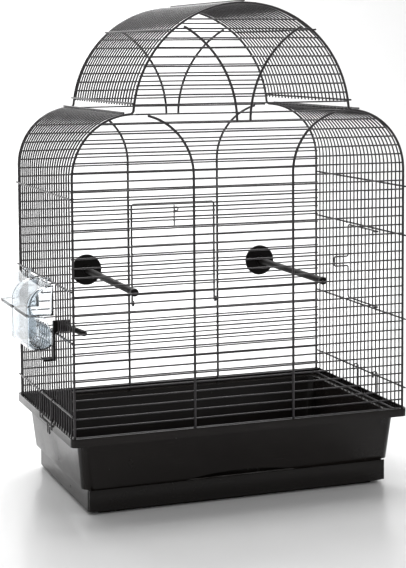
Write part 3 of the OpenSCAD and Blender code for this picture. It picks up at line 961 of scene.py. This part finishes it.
@dataclass
class ClearFeeder:
    """Clear feeder in two chambers: round-cornered cups below and a hood with a round shoulder above."""

    finishes: Finishes
    wall: float = 0.0016
    corner: float = 0.0075
    foot: float = 0.009
    shoulder: float = 0.032
    seam: float = 0.0012
    bird_rim: float = 0.021
    lip: float = 0.0007

    def _skin(self, name: str, grids: list[np.ndarray], closed: bool, body: str) -> None:
        """Turns grids of points into thick walls.

        Args:
            name: CAD node that the piece stands for.
            grids: One grid of points for each chamber, in rows of equal length.
            closed: Whether each row is a ring; the first row is then capped.
            body: Body that the piece rides on.
        """
        shape = bmesh.new()
        for grid in grids:
            rows, columns = grid.shape[:2]
            verts = [[shape.verts.new(p) for p in row] for row in grid]
            last = columns if closed else columns - 1
            for i in range(rows - 1):
                for j in range(last):
                    n = (j + 1) % columns
                    shape.faces.new((verts[i][j], verts[i][n], verts[i + 1][n], verts[i + 1][j]))
            if closed:
                shape.faces.new(list(reversed(verts[0])))
        mesh = bpy.data.meshes.new(name + "_walls")
        shape.to_mesh(mesh)
        shape.free()
        mesh.shade_smooth()
        obj = bpy.data.objects.new(name + "_walls", mesh)
        bpy.context.scene.collection.objects.link(obj)
        walls = obj.modifiers.new("walls", "SOLIDIFY")
        walls.thickness = self.wall
        walls.offset = -1.0
        rim = obj.modifiers.new("rim", "BEVEL")
        rim.width = 0.0004
        rim.segments = 2
        rim.limit_method = "ANGLE"
        rim.angle_limit = math.radians(50)
        self.finishes.dress(obj, Slot.CLEAR)
        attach(obj, body)
        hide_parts(name)
        log.info("%s: %d chambers of clear plastic", name, len(grids))

    def _spans(self, low: float, high: float) -> list[tuple[float, float]]:
        """Splits a length into the two chambers, with a seam between them."""
        middle = (low + high) / 2
        return [(low, middle - self.seam / 2), (middle + self.seam / 2, high)]

    def trough(self) -> None:
        """Builds the cups; their rim dips towards the birds, and turns out a little at the top."""
        (x0, y_low, z0), (x1, y_high, z1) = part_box("feeder_trough")
        turn = np.linspace(0, math.pi / 2, 9)
        levels = [(self.foot * (1 - math.sin(t)), self.foot * (1 - math.cos(t))) for t in turn]
        levels = [(self.foot + 0.004, 0.0)] + levels
        levels += [(0.0, self.foot + k * (z1 - z0 - self.foot - 0.003) / 8) for k in range(1, 9)]
        levels += [(-0.4 * self.lip, z1 - z0 - 0.002), (-self.lip, z1 - z0 - 0.001), (-self.lip, z1 - z0)]
        grids = []
        for y0, y1 in self._spans(y_low, y_high):
            rows = []
            for inset, rise in levels:
                i = inset + self.lip
                ring = self._ring(x0 + i, x1 - i, y0 + i, y1 - i, self.corner)
                away = np.clip((x1 - 0.004 - ring[:, 0]) / 0.010, 0, 1)
                top = z1 - self.bird_rim * (1 - away * away * (3 - 2 * away))
                z = np.full(len(ring), z0 + rise)
                if rise > self.foot:
                    z = z0 + rise * (top - z0) / (z1 - z0)
                z = np.maximum(z, z0 + min(rise, self.foot))
                rows.append(np.stack([ring[:, 0], ring[:, 1], z], axis=1))
            grids.append(np.array(rows))
        self._skin("feeder_trough", grids, True, "feeder_trough")

    @staticmethod
    def _ring(x0: float, x1: float, y0: float, y1: float, r: float) -> np.ndarray:
        """Rounded rectangle as a closed row of points, counter-clockwise from above."""
        row = []
        corners = [(x1 - r, y0 + r), (x1 - r, y1 - r), (x0 + r, y1 - r), (x0 + r, y0 + r)]
        for k, corner in enumerate(corners):
            start = 90 * (k - 1)
            row.append(arc(corner, r, start, start + 90, 11))
            after = corners[(k + 1) % 4]
            here, t = row[-1][-1], math.radians(start + 90)
            there = np.array([after[0] + r * math.cos(t), after[1] + r * math.sin(t)])
            shares = (0.06, 0.2, 0.4, 0.6, 0.8, 0.94)
            row.append(np.array([here + (there - here) * f for f in shares]))
        return np.concatenate(row)

    def hood(self) -> None:
        """Builds the hoods, open below and towards the birds."""
        (x0, y_low, z0), (x1, y_high, z1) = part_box("feeder_hood")
        r, depth = self.shoulder, x1 - x0
        middle = z1 - r
        profile = [(0.0, z0 + (middle - z0) * k / 3) for k in range(3)]
        turn = np.linspace(0, math.pi / 2, 16)
        profile += [(r - r * math.cos(t), middle + r * math.sin(t)) for t in turn]
        profile += [(r + (depth - r) * f, z1) for f in (0.35, 0.7, 0.97)]
        grids = []
        for y0, y1 in self._spans(y_low, y_high):
            rows = []
            for out, z in profile:
                x, bend = x0 + out, max(0.0002, min(self.corner, 0.8 * (depth - out)))
                near = arc((x + bend, y0 + bend), bend, -90, -180, 11)
                far = arc((x + bend, y1 - bend), bend, 180, 90, 11)
                arm = np.linspace(0, 1, 7)[:-1]
                first = np.stack([x1 + (x + bend - x1) * arm, np.full(6, y0)], axis=1)
                back = np.stack([np.full(9, x), np.linspace(y0 + bend, y1 - bend, 11)[1:-1]], axis=1)
                final = np.stack([x + bend + (x1 - x - bend) * (arm + 1 / 6), np.full(6, y1)], axis=1)
                flat = np.concatenate([first, near, back, far, final])
                rows.append(np.stack([flat[:, 0], flat[:, 1], np.full(len(flat), z)], axis=1))
            grids.append(np.array(rows)[:, ::-1])
        self._skin("feeder_hood", grids, False, "feeder_hood")

    def build(self) -> None:
        """Builds both pieces."""
        self.trough()
        self.hood()


@dataclass
class Studio:
    """Floor, light and camera; the angles are in radians."""

    eye: tuple = (-0.7944, -2.1444, 0.6393)
    yaw: float = 0.3527
    pitch: float = 0.0768
    roll: float = -0.0059
    lens: float = 97.05
    shift: float = -0.2007
    room_light: float = 0.55
    sweep_start: float = 2.0
    sweep_bend: float = 1.2
    floor_material: bpy.types.Material = field(default_factory=lambda: StudioFloor().material())

    def floor(self) -> None:
        """Builds a sweep that runs from the floor up into the backdrop."""
        start, bend = self.sweep_start, self.sweep_bend
        profile = [(-5.0, 0.0), (start, 0.0)]
        turn = np.linspace(0.1, math.pi / 2, 14)
        profile += [(start + bend * math.sin(a), bend - bend * math.cos(a)) for a in turn]
        profile.append((start + bend, 5.0))
        points, faces = [], []
        for y, z in profile:
            points += [(-6.0, y, z), (6.0, y, z)]
        for i in range(len(profile) - 1):
            faces.append((2 * i, 2 * i + 1, 2 * i + 3, 2 * i + 2))
        mesh = bpy.data.meshes.new("sweep")
        mesh.from_pydata(points, [], faces)
        mesh.shade_smooth()
        mesh.materials.append(self.floor_material)
        obj = bpy.data.objects.new("sweep", mesh)
        bpy.context.scene.collection.objects.link(obj)

    def lamp(self, name: str, place: tuple, target: tuple, size: tuple, power: float) -> None:
        """Adds a soft box.

        Args:
            name: Its name.
            place: Where it hangs.
            target: Point that it faces.
            size: Its width and height.
            power: Its power in watts.
        """
        data = bpy.data.lights.new(name, "AREA")
        data.shape = "RECTANGLE"
        data.size, data.size_y = size
        data.energy = power
        obj = bpy.data.objects.new(name, data)
        obj.location = place
        obj.rotation_euler = (Vector(target) - Vector(place)).to_track_quat("-Z", "Y").to_euler()
        bpy.context.scene.collection.objects.link(obj)

    def lights(self) -> None:
        """Sets the soft boxes and the even room light."""
        world = bpy.data.worlds.new("room")
        world.use_nodes = True
        world.node_tree.nodes["Background"].inputs["Color"].default_value = (1.0, 1.0, 1.0, 1.0)
        world.node_tree.nodes["Background"].inputs["Strength"].default_value = self.room_light
        bpy.context.scene.world = world
        bpy.context.scene.view_settings.view_transform = "Standard"
        self.lamp("top_box", (0.2, 1.5, 2.3), (0, 0.2, 0), (2.4, 1.4), 69)
        self.lamp("left_box", (-2.4, -0.4, 1.5), (0, 0, 0.2), (1.2, 1.2), 1.5)
        self.lamp("backdrop_box", (0.4, 0.9, 3.0), (0, 3.2, 1.0), (4.0, 1.2), 72)

    def camera(self) -> None:
        """Sets the camera, with its lens shifted down to frame the cage."""
        cy, sy = math.cos(self.yaw), math.sin(self.yaw)
        cp, sp = math.cos(self.pitch), math.sin(self.pitch)
        ahead = Vector((sy * cp, cy * cp, -sp))
        level = Vector((cy, -sy, 0.0))
        above = level.cross(ahead)
        right = level * math.cos(self.roll) + above * math.sin(self.roll)
        up = right.cross(ahead)
        data = bpy.data.cameras.new("view")
        data.lens = self.lens
        data.sensor_width = 36.0
        data.shift_y = self.shift
        obj = bpy.data.objects.new("view", data)
        obj.matrix_world = Matrix(
            (
                (right.x, up.x, -ahead.x, self.eye[0]),
                (right.y, up.y, -ahead.y, self.eye[1]),
                (right.z, up.z, -ahead.z, self.eye[2]),
                (0, 0, 0, 1),
            )
        )
        bpy.context.scene.collection.objects.link(obj)
        bpy.context.scene.camera = obj

    def build(self) -> None:
        """Builds the studio."""
        self.floor()
        self.lights()
        self.camera()


MOULDINGS = (
    ("base", "base", Slot.BASE, 0.0009),
    ("drawer", "drawer", Slot.DRAWER, 0.0007),
    ("left_perch", "cage", Slot.BLACK, 0.0006),
    ("right_perch", "cage", Slot.BLACK, 0.0006),
    ("perch_caps", "cage", Slot.BLACK, 0.0003),
    ("left_perch_nut", "left_perch_nut", Slot.BLACK, 0.0006),
    ("right_perch_nut", "right_perch_nut", Slot.BLACK, 0.0006),
    ("hood_hooks", "feeder_hood", Slot.CLEAR, 0.0003),
    ("feeder_bracket", "cage", Slot.BLACK, 0.0006),
    ("feeder_perch", "cage", Slot.BLACK, 0.0004),
)


def main() -> None:
    """Builds the cage, piece by piece."""
    logging.basicConfig(level=logging.INFO, format="%(message)s")

    finishes = Finishes()
    cage = Outline()
    EndPanel(cage, finishes, -1).build()
    EndPanel(cage, finishes, 1, (10, 22)).build()
    SidePanel(cage, finishes, -1, (7, 20), (0.132, 0.202), (0.030, 0.132, 0.202, 0.328)).build()
    SidePanel(cage, finishes, 1, (7, 16), (0.132, 0.256), (0.030, 0.132, 0.256, 0.328)).build()
    RoofPanel(cage, finishes).build()
    MainDoor(cage, finishes).build()
    SideDoor(cage, finishes).build()
    for sign in (-1, 1):
        BaseClip(cage, finishes, sign).build()
    for node, body, slot, edge in MOULDINGS:
        Moulding(node, body, slot, finishes, edge).build()
    ClearFeeder(finishes).build()
    Studio().build()


if __name__ == "__main__":
    main()
